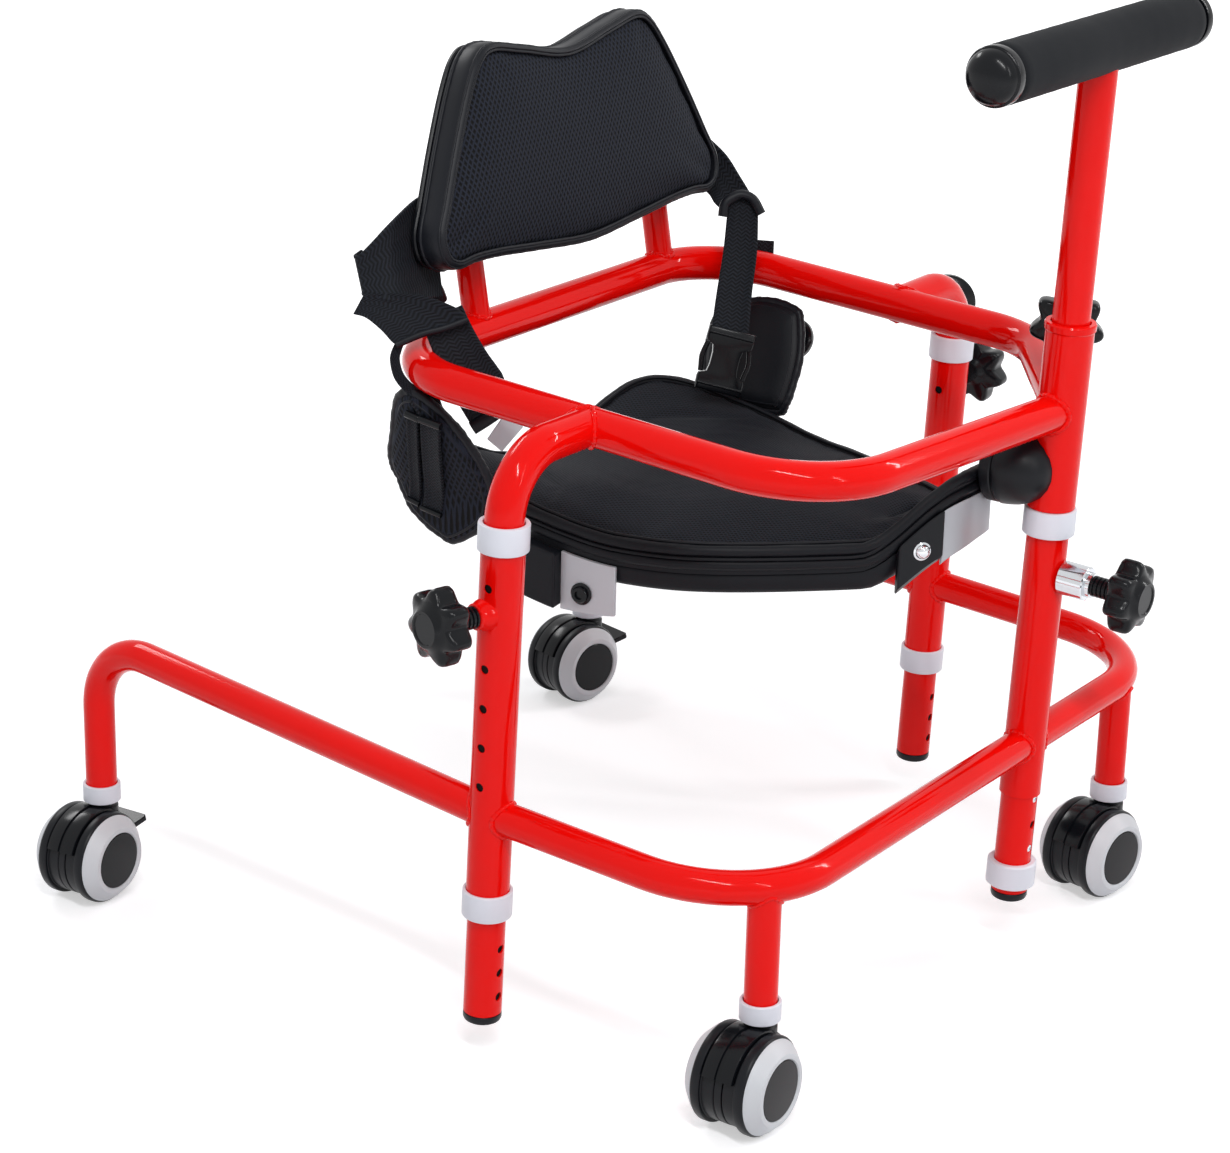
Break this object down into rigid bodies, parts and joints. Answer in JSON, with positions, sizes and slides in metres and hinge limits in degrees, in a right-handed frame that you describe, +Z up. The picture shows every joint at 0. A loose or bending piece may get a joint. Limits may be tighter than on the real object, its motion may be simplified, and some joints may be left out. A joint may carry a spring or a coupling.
{
  "type": "pediatric walker",
  "caption": "Child's walking frame on swivelling twin-wheel castors, with a saddle seat, back pad, side straps and a foam push handle.",
  "frame": {"origin": "on the floor under the middle of the frame's outline", "axes": "+Z up, -Y the way the child faces, +X the child's left"},
  "size_m": [0.6656, 0.6718, 0.6514],
  "materials": {
    "red_powder_coat": "gloss",
    "white_nylon": "satin",
    "chromed_steel": "polished",
    "grey_painted_steel": "satin",
    "black_mesh_fabric": "matte mesh",
    "black_webbing": "matte weave",
    "black_foam": "matte",
    "black_vinyl": "satin",
    "black_nylon": "satin"
  },
  "bodies": {
    "base": {"base_frame": "red_powder_coat", "leg_top_collar_near": "white_nylon", "leg_top_collar_far": "white_nylon", "mast_top_collar": "white_nylon", "leg_low_collar_near": "white_nylon", "leg_low_collar_far": "white_nylon", "leg_nut_far": "chromed_steel", "mast_nut": "chromed_steel", "castor_collar_front_near": "white_nylon", "castor_collar_front_far": "white_nylon", "castor_collar_rear_near": "white_nylon", "castor_collar_rear_far": "white_nylon"},
    "ring": {"far_strap": "black_webbing", "foot_cap_far": "black_nylon", "foot_cap_mast": "black_nylon", "foot_cap_near": "black_nylon", "front_bracket": "black_nylon", "mast_stop_collar": "white_nylon", "near_strap": "black_webbing", "nose_plate": "grey_painted_steel", "ring_frame": "red_powder_coat", "seat_pad": "black_mesh_fabric", "seat_pommel": "black_vinyl", "seat_tray": "black_vinyl", "seat_wing_far": "black_vinyl", "seat_wing_near": "black_vinyl", "side_block_far": "black_nylon", "side_block_near": "black_nylon", "side_bolt_far": "black_nylon", "side_bolt_near": "black_nylon", "side_bracket_far": "grey_painted_steel", "side_bracket_near": "grey_painted_steel", "strap_buckle": "black_nylon", "strap_plate": "grey_painted_steel"},
    "handle": {"handle_tube": "red_powder_coat", "foam_grip": "black_foam", "grip_cap_near": "black_nylon", "grip_cap_far": "black_nylon"},
    "backrest": {"backrest_shell": "black_nylon", "backrest_pad": "black_mesh_fabric", "backrest_socket_near": "black_nylon", "backrest_socket_far": "black_nylon"},
    "leg_knob_near_turn": {"leg_knob_near": "black_nylon"},
    "leg_knob_far_turn": {"leg_knob_far": "black_nylon"},
    "mast_knob_turn": {"mast_knob": "black_nylon"},
    "handle_knob_turn": {"handle_knob": "black_nylon"},
    "bend_knob_turn": {"bend_knob": "black_nylon"},
    "wing_knob_turn": {"wing_knob": "black_nylon"},
    "castor_front_near": {"castor_housing_front_near": "black_nylon"},
    "wheel_a_front_near": {"castor_wheel_a_front_near": "black_nylon"},
    "wheel_b_front_near": {"castor_wheel_b_front_near": "black_nylon"},
    "castor_front_far": {"castor_housing_front_far": "black_nylon"},
    "wheel_a_front_far": {"castor_wheel_a_front_far": "black_nylon"},
    "wheel_b_front_far": {"castor_wheel_b_front_far": "black_nylon"},
    "castor_rear_near": {"castor_housing_rear_near": "black_nylon"},
    "wheel_a_rear_near": {"castor_wheel_a_rear_near": "black_nylon"},
    "wheel_b_rear_near": {"castor_wheel_b_rear_near": "black_nylon"},
    "castor_rear_far": {"castor_housing_rear_far": "black_nylon"},
    "wheel_a_rear_far": {"castor_wheel_a_rear_far": "black_nylon"},
    "wheel_b_rear_far": {"castor_wheel_b_rear_far": "black_nylon"}
  },
  "joints": [
    {"name": "ring_height", "type": "slide", "parent": "base", "child": "ring", "axis": [0, -0.04, 0.9992], "range_m": [0, 0.05]},
    {"name": "handle_height", "type": "slide", "parent": "ring", "child": "handle", "axis": [0, -0.04, 0.9992], "range_m": [-0.02, 0.05]},
    {"name": "backrest_height", "type": "slide", "parent": "ring", "child": "backrest", "axis": [0, 0.1736, 0.9848], "range_m": [-0.025, 0.035]},
    {"name": "leg_knob_near_turn", "type": "hinge", "parent": "base", "child": "leg_knob_near_turn", "pos_m": [-0.272, -0.06492, 0.305], "axis": [-0.966, 0.2584, 0.0103], "range_deg": [-180, 180]},
    {"name": "leg_knob_far_turn", "type": "hinge", "parent": "base", "child": "leg_knob_far_turn", "pos_m": [0.272, -0.06572, 0.325], "axis": [0.9976, 0.0696, 0.0028], "range_deg": [-180, 180]},
    {"name": "mast_knob_turn", "type": "hinge", "parent": "base", "child": "mast_knob_turn", "pos_m": [0.067, -0.25942, 0.279], "axis": [0, -0.9992, -0.04], "range_deg": [-180, 180]},
    {"name": "handle_knob_turn", "type": "hinge", "parent": "ring", "child": "handle_knob_turn", "pos_m": [0.067, -0.2657, 0.436], "axis": [0.8748, 0.4841, 0.0194], "range_deg": [-180, 180]},
    {"name": "bend_knob_turn", "type": "hinge", "parent": "ring", "child": "bend_knob_turn", "pos_m": [0.26951, -0.06888, 0.37671], "axis": [0.7663, 0.642, 0.0257], "range_deg": [-180, 180]},
    {"name": "wing_knob_turn", "type": "hinge", "parent": "ring", "child": "wing_knob_turn", "pos_m": [0.1788, 0.019, 0.36678], "axis": [0.9005, 0, -0.4349], "range_deg": [-180, 180]},
    {"name": "castor_front_near_swivel", "type": "hinge", "parent": "base", "child": "castor_front_near", "pos_m": [-0.235, -0.24064, 0.0695], "axis": [0, 0, 1], "continuous": true},
    {"name": "wheel_a_front_near_spin", "type": "hinge", "parent": "castor_front_near", "child": "wheel_a_front_near", "pos_m": [-0.251, -0.24064, 0.0325], "axis": [0, 1, 0], "continuous": true},
    {"name": "wheel_b_front_near_spin", "type": "hinge", "parent": "castor_front_near", "child": "wheel_b_front_near", "pos_m": [-0.251, -0.24064, 0.0325], "axis": [0, 1, 0], "continuous": true},
    {"name": "castor_front_far_swivel", "type": "hinge", "parent": "base", "child": "castor_front_far", "pos_m": [0.205, -0.25308, 0.0695], "axis": [0, 0, 1], "continuous": true},
    {"name": "wheel_a_front_far_spin", "type": "hinge", "parent": "castor_front_far", "child": "wheel_a_front_far", "pos_m": [0.18924, -0.2503, 0.0325], "axis": [0.1736, 0.9848, 0], "continuous": true},
    {"name": "wheel_b_front_far_spin", "type": "hinge", "parent": "castor_front_far", "child": "wheel_b_front_far", "pos_m": [0.18924, -0.2503, 0.0325], "axis": [0.1736, 0.9848, 0], "continuous": true},
    {"name": "castor_rear_near_swivel", "type": "hinge", "parent": "base", "child": "castor_rear_near", "pos_m": [-0.242, 0.3073, 0.0695], "axis": [0, 0, 1], "continuous": true},
    {"name": "wheel_a_rear_near_spin", "type": "hinge", "parent": "castor_rear_near", "child": "wheel_a_rear_near", "pos_m": [-0.25796, 0.30618, 0.0325], "axis": [-0.0698, 0.9976, 0], "continuous": true},
    {"name": "wheel_b_rear_near_spin", "type": "hinge", "parent": "castor_rear_near", "child": "wheel_b_rear_near", "pos_m": [-0.25796, 0.30618, 0.0325], "axis": [-0.0698, 0.9976, 0], "continuous": true},
    {"name": "castor_rear_far_swivel", "type": "hinge", "parent": "base", "child": "castor_rear_far", "pos_m": [0.273, 0.256, 0.0695], "axis": [0, 0, 1], "continuous": true},
    {"name": "wheel_a_rear_far_spin", "type": "hinge", "parent": "castor_rear_far", "child": "wheel_a_rear_far", "pos_m": [0.25748, 0.25987, 0.0325], "axis": [0.2419, 0.9703, 0], "continuous": true},
    {"name": "wheel_b_rear_far_spin", "type": "hinge", "parent": "castor_rear_far", "child": "wheel_b_rear_far", "pos_m": [0.25748, 0.25987, 0.0325], "axis": [0.2419, 0.9703, 0], "continuous": true}
  ]
}
